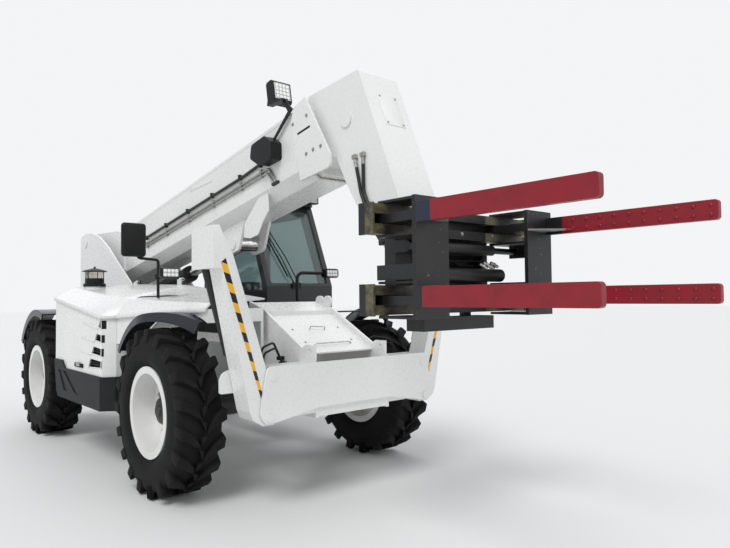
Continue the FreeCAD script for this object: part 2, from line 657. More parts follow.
# Lift cylinder's lower mount between the tower plates
mount = new_body("lift_mount")
lug_foot = size["frame_top"]
lug_high = size["lift_base_z"] + 60
for side_name, side in SIDES:
    lug = [(lift_base_x - 90, lug_foot), (lift_base_x + 90, lug_foot),
           (lift_base_x + 75, lug_high, 50), (lift_base_x - 75, lug_high, 50)]
    pad(mount, "XZ", round_line(lug), side_start(side, 100, 25), 25)
block(mount, (lift_base_x - 90, -inside, lug_foot - 30), (lift_base_x + 90, inside, lug_foot))
pad(mount, "XZ", ring(lift_base_x, size["lift_base_z"], size["lift_pin"]), 135, 270)
mount.Placement = home

# Boom, fixed section: folded box with cheeks round the pivot and a collar at its mouth
boom_place = turned(tower_pin_x + axle_x, size["tower_pin_z"], size["boom_angle"])


def boom_section(half, top, side_low, keel):
    fold = half - size["boom_fold"]
    return [(-half, top), (half, top), (half, side_low), (fold, keel), (-fold, keel), (-half, side_low)]


outer_half = size["boom_half"]
side_low = -size["boom_top"] - size["boom_side"]
keel = side_low - size["boom_keel"]
wall = size["boom_wall"]
boom_long = size["boom_end"] - size["boom_start"]
outer = new_body("boom_outer")
outer_edge = boom_section(outer_half, -size["boom_top"], side_low, keel)
pad(outer, "YZ", closed_line(outer_edge), size["boom_start"], boom_long)
bore_edge = boom_section(outer_half - wall, -size["boom_top"] - wall, side_low + wall / 3, keel + wall)
pocket(outer, "YZ", closed_line(bore_edge), size["boom_start"] + 30, boom_long)
PIVOT_CHEEK = [
    # along, above, corner radius
    (-150, -190, 60), (-150, 110, 90), (40, 125, 60), (874, -54, 0), (1000, -110, 0), (1000, -600, 0),
    (330, -600, 80),
]
mouth = size["boom_end"]
COLLAR_EDGE = [
    # along, above, corner radius
    (mouth - 142, -206, 0), (mouth - 80, -90, 0), (mouth + 85, -64, 0), (mouth + 317, -629, 40),
    (mouth + 308, -731, 40), (mouth - 93, -716, 0),
]
HOSE_GUARD = [
    # along, above, corner radius: plate that hangs under the boom behind its mouth
    (mouth - 790, -640, 0), (mouth - 640, -640, 0), (mouth - 655, -798, 0), (mouth - 760, -866, 0),
    (mouth - 870, -965, 25), (mouth - 1000, -965, 40), (mouth - 1110, -930, 0), (mouth - 1070, -800, 0),
]
lift_reach = size["lift_reach"]
lift_low = -size["lift_drop"] - 90
for side_name, side in SIDES:
    pad(outer, "XZ", round_line(PIVOT_CHEEK), side_start(side, outer_half, size["boom_cheek"]), "boom_cheek")
    boss_inner = outer_half + size["boom_cheek"]
    boss = size["frame_half"] - boss_inner - 2
    pad(outer, "XZ", ring(0, 0, 95), side_start(side, boss_inner, boss), boss)
    pad(outer, "XZ", round_line(COLLAR_EDGE), side_start(side, outer_half, size["collar_plate"]), "collar_plate")
    lug = [(lift_reach - 420, keel + 5), (lift_reach + 260, keel + 5),
           (lift_reach + 95, lift_low, 80), (lift_reach - 95, lift_low, 80)]
    pad(outer, "XZ", round_line(lug), side_start(side, 125, 25), 25)
    pad(outer, "XZ", ring(lift_reach, -size["lift_drop"], 62), side_start(side, 110, 52), 52)
guard_inner = outer_half - 22
pad(outer, "XZ", round_line(HOSE_GUARD), side_start(-1, guard_inner, 10), 10)
bridge_top = -size["boom_top"] + 38
pad(outer, "YZ", box_line(-outer_half, outer_half, -size["boom_top"], bridge_top), mouth - 80, 80)
pivot_bore = ring(0, 0, size["boom_pin"] + size["pin_fit"])
pocket(outer, "XZ", pivot_bore, size["frame_half"], 2 * size["frame_half"])
outer.Placement = boom_place

# What is bolted to the boom's near side: the hose reel's box, and the work lamp on its bracket
fittings = new_body("boom_fittings")
reel_y = -outer_half - 0.3
reel_deep = 110
REEL_EDGE = [
    # along, above, corner radius
    (mouth - 640, -220, 30), (mouth - 420, -215, 30), (mouth - 330, -300, 30), (mouth - 350, -440, 30),
    (mouth - 560, -430, 30), (mouth - 680, -330, 30),
]
pad(fittings, "XZ", round_line(REEL_EDGE), reel_y, reel_deep)
strip_line = [(mouth - 430, -250), (mouth - 380, -250), (mouth - 80, -95), (mouth - 110, -60), (mouth - 150, -90)]
pad(fittings, "XZ", closed_line(strip_line), -outer_half - size["collar_plate"] - 0.3, 10)
stalk = [(mouth - 150, -90), (mouth - 110, -60), (mouth - 175, 40), (mouth - 215, 40)]
pad(fittings, "XZ", closed_line(stalk), -outer_half - size["collar_plate"] - 0.3, 10)
lamp_head = box_line(mouth - 430, mouth - 330, 90, 290, 25)
pad(fittings, "XZ", lamp_head, -90, 190)
yoke = [(mouth - 400, 60), (mouth - 170, 20), (mouth - 170, 34), (mouth - 385, 100)]
pad(fittings, "XZ", closed_line(yoke), -outer_half - size["collar_plate"] + 20, 60)
fittings.Placement = boom_place

# Two steel pipes and a hose along the boom's near side, held by clips
clip_face = -outer_half - 0.3
BOOM_LINES = [
    # radius, middle from the boom's face, bend, points along and above
    (10, 14, 60, [(1760, -437), (4500, -452), (4592, -625)]),
    (10, 14, 60, [(1760, -470), (4475, -486), (4556, -625)]),
    (14, 17, 150, [(1780, -372), (4060, -386), (4385, -372)]),
]
lines = []
for radius, stand, bend, points in BOOM_LINES:
    route = [(along, clip_face - stand, above) for along, above in points]
    lines.append(line_solid(route, radius, bend))
for along in (1760, 2320, 2880, 3440, 4000, 4360):
    lines.append(box_solid((along, clip_face - 26, -500), (along + 26, clip_face, -424)))
    lines.append(box_solid((along, clip_face - 34, -400), (along + 22, clip_face, -350)))
lines.append(box_solid((4530, clip_face - 27, -626), (4620, clip_face, -600)))
new_shape("boom_lines", fused(lines)).Placement = boom_place

# Boom, sliding section with the head
inner_boom = new_body("boom_inner")
gap = wall + size["section_gap"]
inner_half = outer_half - gap
inner_top = -size["boom_top"] - gap
inner_low = side_low + gap / 3
inner_keel = keel + gap
tail = 620
tube_end = size["boom_end"] + 70
end_plate = 20
inner_edge = boom_section(inner_half, inner_top, inner_low, inner_keel)
pad(inner_boom, "YZ", closed_line(inner_edge), tail, tube_end - tail)
inner_bore = boom_section(inner_half - wall, inner_top - wall, inner_low + wall / 3, inner_keel + wall)
pocket(inner_boom, "YZ", closed_line(inner_bore), tail - 1, tube_end - end_plate - tail)
head_back = size["boom_end"] + 22 - size["head_reach"]
cavity_back = tube_end + end_plate - size["head_reach"]
HEAD_EDGE = [
    # along and above, from the head pin, and corner radius
    (head_back, 1587, 30), (-204, 1529, 25), (128, 8, 60), (69, -124, 60), (-98, -94, 80), (-180, 153, 120),
    (-394, 490, 0), (-498, 725, 0), (-580, 973, 0), (head_back, 973, 0),
]
CAVITY_EDGE = [
    # along and above, from the head pin: the hollow of the head and its open lower end
    (cavity_back, 1564), (-219, 1513), (37, 352), (320, 300), (240, -230), (-210, -230), (-193, 200),
    (-381, 497), (-482, 730), (-562, 990), (cavity_back, 990),
]
HEAD_BOSSES = [
    # along and above, from the head pin, and radius
    (0, 0, 70),
    (-404, 1209, 62),
]


def from_head_pin(points):
    moved = []
    for point in points:
        moved.append((point[0] + size["head_reach"], point[1] - size["head_drop"]) + tuple(point[2:]))
    return moved


pad(inner_boom, "XZ", round_line(from_head_pin(HEAD_EDGE)), size["head_half"], 2 * size["head_half"])
clear = size["head_half"] - size["head_wall"]
pocket(inner_boom, "XZ", closed_line(from_head_pin(CAVITY_EDGE)), clear, 2 * clear)
boss_high = 12
boss_half = size["head_half"] + boss_high
pin_line = ring(size["head_reach"], -size["head_drop"], size["head_pin"])
pad(inner_boom, "XZ", pin_line, boss_half, 2 * boss_half)
for side_name, side in SIDES:
    for along, above, radius in from_head_pin(HEAD_BOSSES):
        boss = ring(along, above, radius)
        pad(inner_boom, "XZ", boss, side_start(side, size["head_half"], boss_high), boss_high)
inner_boom.Placement = boom_place

# Two hoses down the near side of the head
HEAD_LINES = [
    # radius, bend, points along and above from the head pin
    (13, 160, [(-349, 883), (-331, 600), (-262, 330), (-178, 178)]),
    (13, 160, [(-257, 869), (-301, 600), (-226, 330), (-146, 190)]),
]
lines = []
line_y = -size["head_half"] - 0.3
for radius, bend, points in HEAD_LINES:
    route = [(along, line_y - radius - 2, above) for along, above in from_head_pin(points)]
    lines.append(line_solid(route, radius, bend))
    for along, above in from_head_pin([points[0], points[-1]]):
        lines.append(box_solid((along - 20, line_y - 30, above - 16), (along + 20, line_y, above + 16)))
new_shape("head_lines", fused(lines)).Placement = boom_place

# Wear pads between the sections
pads = new_body("boom_wear_pads")
pad_x = size["boom_end"] - 180
pad_long = 160
pad_high = 90
pad_thick = size["section_gap"] - size["pad_fit"]
for side_name, side in SIDES:
    for level in (inner_top - 94, side_low + 40):
        pad_side = box_line(pad_x, pad_x + pad_long, level, level + pad_high)
        pad(pads, "XZ", pad_side, side_start(side, outer_half - wall - pad_thick, pad_thick), pad_thick)
    top_pad = side * 160
    block(pads, (pad_x, top_pad - 60, inner_top + size["pad_fit"]), (pad_x + pad_long, top_pad + 60, -size["boom_top"] - wall))
    low_pad = side * 70
    block(pads, (pad_x, low_pad - 50, keel + wall), (pad_x + pad_long, low_pad + 50, inner_keel - size["pad_fit"]))
pads.Placement = boom_place

# Lift cylinder
top_x, top_z = boom_point(size["lift_reach"], -size["lift_drop"])
lift_long = math.hypot(top_x - lift_base_x, top_z - size["lift_base_z"])
lift_angle = math.degrees(math.atan2(top_z - size["lift_base_z"], top_x - lift_base_x))
lift_place = turned(lift_base_x + axle_x, size["lift_base_z"], lift_angle)
barrel = new_body("lift_barrel")
gland = size["lift_barrel_long"]
barrel_eye = 95
rod_start = 420
pad(barrel, "YZ", ring(0, 0, size["lift_barrel"]), 100, gland - 100)
pad(barrel, "XZ", ring(0, 0, 75), barrel_eye, 2 * barrel_eye)
pad(barrel, "YZ", ring(0, 0, 55), 40, 70)
pad(barrel, "YZ", ring(0, 0, size["lift_barrel"] + 8), gland - 70, 70)
pocket(barrel, "XZ", ring(0, 0, size["lift_pin"] + size["pin_fit"]), barrel_eye, 2 * barrel_eye)
pocket(barrel, "YZ", ring(0, 0, size["lift_rod"] + 1), 180, gland)
barrel.Placement = lift_place
rod = new_body("lift_rod")
pad(rod, "YZ", ring(0, 0, size["lift_rod"]), rod_start, lift_long - rod_start - 60)
pad(rod, "XZ", ring(lift_long, 0, 70), 100, 200)
pocket(rod, "XZ", ring(lift_long, 0, 45), 100, 200)
rod.Placement = lift_place

# Clamp frame on the head pin: two rails, uprights, the hanger, and a guard and a hose box between the arms
carriage = new_body("clamp_frame")
RAILS = [("upper", 140), ("lower", -350)]
rail_high = 3 * size["rail_flange"]
half = size["rail_half"]
for rail_name, low_z in RAILS:
    block(carriage, (rail_rear, -half, low_z), (rail_rear + size["rail_web"], half, low_z + rail_high))
    for step in (0, 2):
        flange = low_z + step * size["rail_flange"]
        block(carriage, (rail_rear + size["rail_web"], -half, flange), (rail_front, half, flange + size["rail_flange"]))
    for side_name, side in SIDES:
        end_low = side * (half + 8) - 8
        block(carriage, (rail_rear - 8, end_low, low_z - 6), (rail_front + 6, end_low + 16, low_z + rail_high + 6))
frame_low, frame_high = RAILS[1][1], RAILS[0][1] + rail_high
for side_name, side in SIDES:
    block(carriage, (40, side * 400 - 12, -210), (rail_rear, side * 400 + 12, 200))
    block(carriage, (rail_rear - 40, side * 400 - 60, frame_low), (rail_rear, side * 400 + 60, frame_high))
    hanger = [(-45, -45, 40), (-45, 60, 40), (rail_rear, 260), (rail_rear, -300)]
    pad(carriage, "XZ", round_line(hanger), side_start(side, 128, 30), 30)
block(carriage, (rail_rear - 30, -400, frame_low), (rail_rear, 400, frame_high))
pocket(carriage, "XZ", ring(0, 0, size["head_pin"] + size["pin_fit"]), 200, 400)
ram_x = rail_front - 10
ram_long = size["ram_closed"] + size["ram_open"]
RAMS = [
    # side it pushes, its direction, level, radius
    ("left", 1, 78, 36),
    ("right", -1, -96, 46),
]
for ram_name, side, level, ram_radius in RAMS:
    start = side_start(side, -size["ram_closed"], ram_long)
    pad(carriage, "XZ", ring(ram_x, level, ram_radius), start, ram_long)
    bore_long = ram_long - 30
    bore_start = side_start(side, 30 - size["ram_closed"], bore_long)
    pocket(carriage, "XZ", ring(ram_x, level, size["ram_rod"] + 2), bore_start, bore_long)
    foot_y = -side * 450
    block(carriage, (rail_rear, foot_y - 20, level - 40), (ram_x, foot_y + 20, level + 40))
guard_y = 250
guard_line = [(-150, 0), (-150, 10), (40, 50), (150, 14), (150, 4), (40, 38)]
guard_edge = [(guard_y + across, frame_high + 80 + above) for across, above in guard_line]
pad(carriage, "YZ", closed_line(guard_edge), rail_rear - 20, size["rail_depth"] + 60)
block(carriage, (rail_rear + 5, guard_y - 20, frame_high), (rail_rear + 40, guard_y + 20, frame_high + 116))
box_low = frame_low - 110
block(carriage, (rail_rear + 20, -390, box_low), (rail_front + 60, 300, frame_low - 24))
for side_name, side in SIDES:
    block(carriage, (rail_rear + 5, side * 200 - 45 - 15, frame_low - 30), (rail_rear + 45, side * 200 + 15, frame_low))
head_place = FreeCAD.Placement(Vec(head_x + axle_x, 0, head_z), FreeCAD.Rotation())
carriage.Placement = head_place

# Hoses between the clamp's cylinders, from blocks on its back plate
CLAMP_LINES = [
    # radius, bend, points across and above
    (9, 45, [(-250, -34), (-90, -34), (60, 26), (330, 26)]),
    (9, 45, [(-250, 26), (-60, 26), (90, -30), (330, -30)]),
    (9, 45, [(-150, -4), (40, -4), (170, 4), (330, 4)]),
]
lines = []
plate_face = rail_rear + 0.3
for order, (radius, bend, points) in enumerate(CLAMP_LINES):
    route = [(plate_face + 14 + 22 * order, across, above) for across, above in points]
    lines.append(line_solid(route, radius, bend))
for across in (-262, 318):
    lines.append(box_solid((plate_face, across, -46), (plate_face + 68, across + 26, 42)))
lines.append(box_solid((plate_face, -162, -16), (plate_face + 68, -138, 10)))
new_shape("clamp_lines", fused(lines)).Placement = head_place

# Clamp arms: upright plate, slides on the rails, and two blades each with rounded tips
BLADES = [("upper", 183), ("lower", -300)]
outer_y = size["arm_y"] + size["blade"] / 2
inner_y = outer_y - size["arm_wide"]
blade_y = outer_y - size["blade"]
plate_x = arm_face - size["arm_plate"]
tip_x = arm_face + size["blade_reach"]
rod_end = size["ram_open"] + 265
rod_inside = size["ram_closed"] - 280
for side_name, side in SIDES:
    arm = new_body("clamp_arm_" + side_name)
    low_y, high_y = sorted((side * inner_y, side * outer_y))
    block(arm, (plate_x, low_y, frame_low - 22), (arm_face, high_y, frame_high + 22))
    for rail_name, rail_low in RAILS:
        middle = rail_low + size["rail_flange"] + size["pad_fit"]
        slide_top = middle + size["rail_flange"] - 5
        block(arm, (rail_rear + size["rail_web"] + 5, low_y, middle), (plate_x, high_y, slide_top))
        for cap in (rail_low - 22, rail_low + rail_high + 6):
            block(arm, (rail_front - 60, low_y + 20, cap), (plate_x, high_y - 20, cap + 16))
    for blade_name, level in BLADES:
        blade = [(arm_face, level), (tip_x, level, size["blade_tip"]), (tip_x, level + size["blade_high"], size["blade_tip"]),
                 (arm_face, level + size["blade_high"])]
        pad(arm, "XZ", round_line(blade), side_start(side, blade_y, size["blade"]), "blade")
        gusset = [(arm_face, side * inner_y), (arm_face, side * blade_y), (arm_face + 200, side * blade_y)]
        gusset_z = level + (17 if level > 0 else 110)
        pad(arm, "XY", closed_line(gusset), gusset_z, 12)
    level = [row[2] for row in RAMS if row[0] == side_name][0]
    rod_long = rod_inside + rod_end
    pad(arm, "XZ", ring(ram_x, level, size["ram_rod"]), side_start(side, -rod_inside, rod_long), rod_long)
    lug_low, lug_far = sorted((side * rod_end, side * (rod_end + 30)))
    block(arm, (ram_x - 45, lug_low, level - 45), (plate_x, lug_far, level + 45))
    arm.Placement = head_place

# Cab: lower panels, upper frame with window openings, roof, door
cab_front = size["cab_front"]
cab_floor = size["cab_floor"]
cab_wall = size["cab_wall"]
cab_top = size["cab_top"]
bend = size["cab_bend"]
lean = size["cab_lean"]
cab_wide = size["cab_outer"] - size["cab_inner"]
CAB_SIDE = [
    # x, z outline seen from the side
    (cab_rear, cab_floor), (cab_front, cab_floor), (cab_front, bend), (cab_front - lean, cab_top), (cab_rear, cab_top),
]
CAB_HOLLOW = [
    # x, z of the space inside
    (cab_rear + cab_wall, cab_floor + cab_wall), (cab_front - cab_wall, cab_floor + cab_wall),
    (cab_front - cab_wall, bend), (cab_front - lean - cab_wall, cab_top + 1), (cab_rear + cab_wall, cab_top + 1),
]
door_rear = cab_rear + 75
door_low = cab_floor + size["door_sill"]
door_high = cab_top - 60
door_bend = 1500


def door_edge(gap):
    """Door's outline, grown by gap."""
    return [
        (door_rear - gap, door_low - gap), (cab_front - 330 + gap, door_low - gap),
        (cab_front - 130 + gap, door_bend), (cab_front - 130 + gap, bend),
        (cab_front - lean - 100 + gap, door_high + gap), (door_rear - gap, door_high + gap),
    ]


def cab_shell(label, low, high):
    body = new_body(label)
    pad(body, "XZ", closed_line(CAB_SIDE), size["cab_outer"], cab_wide)
    pocket(body, "XZ", closed_line(CAB_HOLLOW), size["cab_outer"] - cab_wall, cab_wide - 2 * cab_wall)
    pocket(body, "XZ", closed_line(door_edge(size["door_gap"])), size["cab_outer"] + 1, cab_wall + 2)
    far = 4000
    for cut_low, cut_high in ((0, low), (high, far)):
        if cut_high > cut_low:
            pocket(body, "XZ", box_line(-far, far, cut_low, cut_high), size["cab_outer"] + 1, cab_wide + 2)
    return body


cab_shell("cab_lower", 0, size["cab_sill"]).Placement = home
upper = cab_shell("cab_frame", size["cab_sill"] + 0.3, 4000)
glass_low = size["cab_inner"] + cab_wall + 15
glass_high = size["cab_outer"] - cab_wall - 15
screen_low = bend + 25
glass_top = cab_top - 60
screen = box_line(glass_low, glass_high, screen_low, glass_top, 30)
pocket(upper, "YZ", screen, cab_front - lean - 60, lean + 100)
rear_screen = box_line(glass_low, glass_high, size["cab_sill"] + 80, glass_top, 30)
pocket(upper, "YZ", rear_screen, cab_rear - 10, 80)
side_glass = [
    (cab_rear + 90, size["cab_sill"] + 80), (cab_front - 90, size["cab_sill"] + 80), (cab_front - 90, bend),
    (cab_front - lean - 60, glass_top), (cab_rear + 90, glass_top),
]
pocket(upper, "XZ", closed_line(side_glass), size["cab_inner"] + cab_wall + 1, cab_wall + 2)
upper.Placement = home

roof = new_body("cab_roof")
roof_front = cab_front - lean + 70
roof_line = [
    (cab_rear - 30, size["cab_inner"] - 5, 60), (roof_front, size["cab_inner"] - 5, 90),
    (roof_front, size["cab_outer"] + 15, 90), (cab_rear - 30, size["cab_outer"] + 15, 60),
]
roof_pad = pad(roof, "XY", round_line(roof_line), cab_top + 0.3, "roof_thick")
doc.recompute()
top_face = max(range(len(roof_pad.Shape.Faces)), key=lambda index: roof_pad.Shape.Faces[index].CenterOfMass.z)
slope = roof.newObject("PartDesign::Chamfer", "roof_slope")
slope.Base = (roof_pad, ["Face%d" % (top_face + 1)])
slope.setExpression("Size", "sizes.roof_edge")
roof.Placement = home

door = new_body("cab_door")
pad(door, "XZ", closed_line(door_edge(0)), size["cab_outer"], "cab_wall")
pane = 60
door_glass = [
    (door_rear + pane, door_bend), (cab_front - 190, door_bend), (cab_front - 190, bend - 10),
    (cab_front - lean - 160, door_high - pane), (door_rear + pane, door_high - pane),
]
pocket(door, "XZ", closed_line(door_glass), size["cab_outer"] + 1, cab_wall + 2)
low_glass = [
    (door_rear + pane, 950), (cab_front - 420, 950), (cab_front - 250, door_bend - 80), (door_rear + pane, door_bend - 80),
]
pocket(door, "XZ", closed_line(low_glass), size["cab_outer"] + 1, cab_wall + 2)
hinge_x = door_rear - 25
hinge_y = size["cab_outer"] + 13
hinge_long = 60
for level in (1100, 2300):
    pad(door, "XY", ring(hinge_x, hinge_y, 12), level, hinge_long)
    block(door, (hinge_x, size["cab_outer"] + 0.5, level), (door_rear + pane, hinge_y, level + hinge_long))
    block(door, (door_rear + 5, size["cab_outer"] - 5, level), (door_rear + pane, hinge_y, level + hinge_long))
door.Placement = home

# Seat: hard base, and the cushion and back as plain soft solids
middle_y = (size["cab_inner"] + size["cab_outer"]) / 2
floor_z = cab_floor + cab_wall
seat_rear = cab_rear + 240
seat_front = seat_rear + size["seat_long"]
cushion_low = floor_z + size["seat_high"]
cushion_high = cushion_low + size["seat_thick"]
half_seat = size["seat_wide"] / 2
seat_base = new_body("seat_base")
block(seat_base, (seat_rear + 50, middle_y - 170, floor_z), (seat_front - 60, middle_y + 170, cushion_low - 12))
block(seat_base, (seat_rear, middle_y - half_seat + 10, cushion_low - 12), (seat_front - 10, middle_y + half_seat - 10, cushion_low))
back_lean = 70
shell_high = 300
shell_lean = back_lean * shell_high / size["seat_back"]
shell_line = [
    (seat_rear - 12, cushion_low - 12), (seat_rear, cushion_low - 12), (seat_rear, cushion_low),
    (seat_rear - shell_lean, cushion_low + shell_high), (seat_rear - shell_lean - 12, cushion_low + shell_high),
]
pad(seat_base, "XZ", closed_line(shell_line), middle_y + 190, 380)
seat_base.Placement = home
cushions = new_body("seat_cushions")
soft = 0.3
cushion_line = box_line(seat_rear + soft + 110, seat_front, middle_y - half_seat, middle_y + half_seat, 60)
pad(cushions, "XY", cushion_line, cushion_low + soft, size["seat_thick"] - soft)
back_high = cushion_low + size["seat_back"]
back_line = [
    (seat_rear + soft, cushion_low + soft), (seat_rear + 105, cushion_low + soft),
    (seat_rear + 30, back_high, 40), (seat_rear - back_lean, back_high, 40),
]
pad(cushions, "XZ", round_line(back_line), middle_y + half_seat - 20, 2 * (half_seat - 20))
cushions.Placement = home

steering = new_body("steering")
rise = size["wheel_rise"]
lean_back = size["wheel_lean"]
column_x = cab_front - 150
column_foot = 14.2
spoke_wide = 14
radius = size["wheel_radius"]
pad(steering, "XZ", ring(0, 0, 45), 0, math.hypot(rise, lean_back) - column_foot)
spin(steering, ring(0, radius, size["wheel_tube"]))
for turn in (90, 210, 330):
    out_x = math.cos(math.radians(turn))
    out_z = math.sin(math.radians(turn))
    side_x = out_z * spoke_wide
    side_z = out_x * spoke_wide
    spoke = [
        (-side_x, side_z), (side_x, -side_z),
        (out_x * radius + side_x, out_z * radius - side_z), (out_x * radius - side_x, out_z * radius + side_z),
    ]
    pad(steering, "XZ", closed_line(spoke), 6, 12)
column_turn = FreeCAD.Rotation(Vec(0, -1, 0), Vec(lean_back, 0, -rise))
steering.Placement = FreeCAD.Placement(Vec(axle_x + column_x - lean_back, middle_y, floor_z + rise), column_turn)

# Tank and steps under the cab
tank = new_body("tank_left")
tank_top = cab_floor - 0.3
tank_low = tank_top - size["tank_high"]
tank_outer = size["cab_outer"] - 190
tank_line = box_line(size["frame_half"] + 0.3, tank_outer, tank_low, tank_top, 40)
pad(tank, "YZ", tank_line, cab_rear + 120, cab_front - 120 - cab_rear - 120)

# Two treads in their side plates, welded to the tank
step_x = (cab_rear + cab_front) / 2 - 60
step_half = 190
for level in (430, tank_low + 120):
    block(tank, (step_x - step_half, tank_outer - 1, level), (step_x + step_half, size["cab_outer"] - 12, level + 22))
for end in (step_x - step_half, step_x + step_half - 12):
    block(tank, (end, tank_outer - 1, 430), (end + 12, tank_outer + 70, tank_top - 6))
tank.Placement = home

# Engine side: block, skirt, fixed panels, lid on its hinge posts
engine = new_body("engine_block")
skirt_front = size["hood_corner"] + 20
block(engine, (hood_rear + 260, -1050, 680), (size["hood_corner"] - 230, -size["frame_half"] - 0.3, 1500))
engine.Placement = home

skirt = new_body("skirt_right")
skirt_deep = size["hood_side"] - size["frame_half"]
panel_y = size["hood_side"] - size["panel_inset"]
SKIRT_EDGE = [
    # x, z
    (hood_rear + 20, size["hood_low"] - 0.3), (hood_rear + 100, size["skirt_low"] + 60),
    (hood_rear + 160, size["skirt_low"]), (skirt_front, size["skirt_low"]), (skirt_front, size["hood_foot"] - 0.3),
    (hood_rear + 400, size["hood_foot"] - 0.3), (hood_rear + 290, size["hood_low"] - 0.3),
]
pad(skirt, "XZ", closed_line(SKIRT_EDGE), -size["frame_half"] - 0.3, skirt_deep - 0.3)
tray = [(hood_rear + 190, 600), (size["hood_corner"] - 90, 600), (size["hood_corner"] - 90, 960), (hood_rear + 190, 960)]
pocket(skirt, "XZ", closed_line(tray), -size["frame_half"] + 1, skirt_deep + 1 - size["skirt_wall"])
RECESSES = [
    # x at the top, x at the bottom, width at the top, width at the bottom
    (180, 370, 80, 130),
    (340, 740, 135, 125),
]
recess_high, recess_low = 820, 620
for top_off, low_off, top_wide, low_wide in RECESSES:
    recess = [
        (hood_rear + top_off, recess_high), (hood_rear + top_off + top_wide, recess_high),
        (hood_rear + low_off + low_wide, recess_low), (hood_rear + low_off, recess_low),
    ]
    pocket(skirt, "XZ", closed_line(recess), 12 - size["hood_side"], 14)
corner_cut = [
    (skirt_front - 80, -size["hood_side"] - 1), (skirt_front + 1, -size["hood_side"] - 1), (skirt_front + 1, 115 - size["hood_side"]),
]
pocket(skirt, "XY", closed_line(corner_cut), size["skirt_low"] - 1, 400)
skirt.Placement = home

# Lid and panels share these sections: x, outer y, shoulder z, crease y, crease z, top z
fold_x = size["hood_corner"] - 60
HOOD_SECTIONS = [
    (hood_rear, size["hood_side"], 1590, 1050, 1700, 1740),
    (fold_x, size["hood_side"], 1409, 1060, 1571, 1703),
]
CORNER_SECTIONS = [
    HOOD_SECTIONS[1],
    (size["hood_corner"] + 20, size["hood_side"] - 115, 1415, 1010, 1560, 1697),
]
NOSE_SECTIONS = [
    CORNER_SECTIONS[1],
    (size["hood_front"], size["hood_side"] - 300, 1487, 920, 1525, 1560),
]
inner_y_hood = size["hood_inner"]


def hood_loft(body, table):
    """A bent sheet between two sections: rim, shoulder, crease and top."""
    wall = size["hood_wall"]
    rim = size["hood_rim"]
    profiles = []
    for x, outer_y, shoulder, crease_y, crease_z, top in table:
        line = [
            (-outer_y, shoulder - rim), (-outer_y, shoulder), (-crease_y, crease_z), (-inner_y_hood, top),
            (-inner_y_hood, top - wall), (-crease_y + wall / 2, crease_z - wall),
            (-outer_y + wall, shoulder - wall / 2), (-outer_y + wall, shoulder - rim),
        ]
        profiles.append(sketch_on(body, "YZ", closed_line(line), x))
    loft = body.newObject("PartDesign::AdditiveLoft", body.Name + "_loft")
    loft.Profile = profiles[0]
    loft.Sections = profiles[1:]
    loft.Ruled = True


hood = new_body("engine_hood")
for table in (HOOD_SECTIONS, CORNER_SECTIONS, NOSE_SECTIONS):
    hood_loft(hood, table)
hinge_y_hood = size["hood_inner"] - 12
hinge_z = HOOD_SECTIONS[0][5] + size["hinge_drop"]
HINGES = [hood_rear + 160, size["hood_corner"] - 200]
knuckle_long = 60
for hinge in HINGES:
    pad(hood, "YZ", ring(-hinge_y_hood, hinge_z, 17), hinge, knuckle_long)
    leaf = box_line(-inner_y_hood - 22, -hinge_y_hood - 8, 1690, hinge_z)
    pad(hood, "YZ", leaf, hinge, knuckle_long)
    pocket(hood, "YZ", ring(-hinge_y_hood, hinge_z, 8.3), hinge - 1, knuckle_long + 2)
cleaner_x = hood_rear + 210
cleaner_y = -900
cleaner_foot = 1707
pad(hood, "XY", ring(cleaner_x, cleaner_y, 108), cleaner_foot - 40, 39.7)
hood.Placement = home

posts = new_body("hood_posts")
post_inner = size["frame_half"] - 25
for hinge in HINGES:
    block(posts, (hinge - 45, -size["frame_half"], size["frame_top"]), (hinge - 5, -post_inner, hinge_z + 18))
    cheek = box_line(-hinge_y_hood - 14, -post_inner, hinge_z - 18, hinge_z + 18)
    pad(posts, "YZ", cheek, hinge - 20, 15)
    pad(posts, "YZ", ring(-hinge_y_hood, hinge_z, 8), hinge - 20, knuckle_long + 30)
posts.Placement = home

# Fixed panels: side with four vents, front bulkhead, rear panel, and the piece over the front arch
panels = new_body("hood_panels")
seam_gap = 8
rear_shoulder = HOOD_SECTIONS[0][2] - seam_gap
front_shoulder = HOOD_SECTIONS[1][2] - seam_gap
PANEL_EDGE = [
    # x, z
    (hood_rear + 6, size["hood_low"]), (hood_rear + 290, size["hood_low"]), (hood_rear + 400, size["hood_foot"]),
    (fold_x, size["hood_foot"]), (fold_x, front_shoulder), (hood_rear + 6, rear_shoulder),
]
pad(panels, "XZ", closed_line(PANEL_EDGE), -panel_y + size["hood_wall"], "hood_wall")
VENTS = [
    # x at the rear top, z of the rear top, x at the rear foot, z of the rear foot, z of the front top and foot
    (-1129, 1370, -1181, 1302, 1367, 1289),
    (-1219, 1248, -1272, 1178, 1233, 1163),
    (-1305, 1124, -1361, 1047, 1108, 1036),
    (-1393, 1002, -1456, 912, 993, 926),
]
vent_front = fold_x - 14
corner_y = panel_y - 110
outline = [
    (fold_x, -panel_y), (size["hood_corner"], -corner_y), (size["hood_corner"], -size["frame_half"] - 60),
    (size["hood_corner"] - 14, -size["frame_half"] - 60), (size["hood_corner"] - 14, -corner_y + 8),
    (fold_x - 4, -panel_y + size["hood_wall"]),
]
pad(panels, "XY", closed_line(outline), size["hood_foot"], front_shoulder - size["hood_foot"])
rear_edge = [
    (-panel_y, size["hood_low"]), (-size["frame_half"] - 60, size["hood_low"]),
    (-size["frame_half"] - 60, HOOD_SECTIONS[0][5] - 60), (-HOOD_SECTIONS[0][3] + 10, HOOD_SECTIONS[0][4] - 40),
    (-panel_y, rear_shoulder),
]
pad(panels, "YZ", closed_line(rear_edge), hood_rear + 6, "hood_wall")
apron_front = size["hood_front"] - 6
apron_y0 = CORNER_SECTIONS[1][1] - size["panel_inset"]
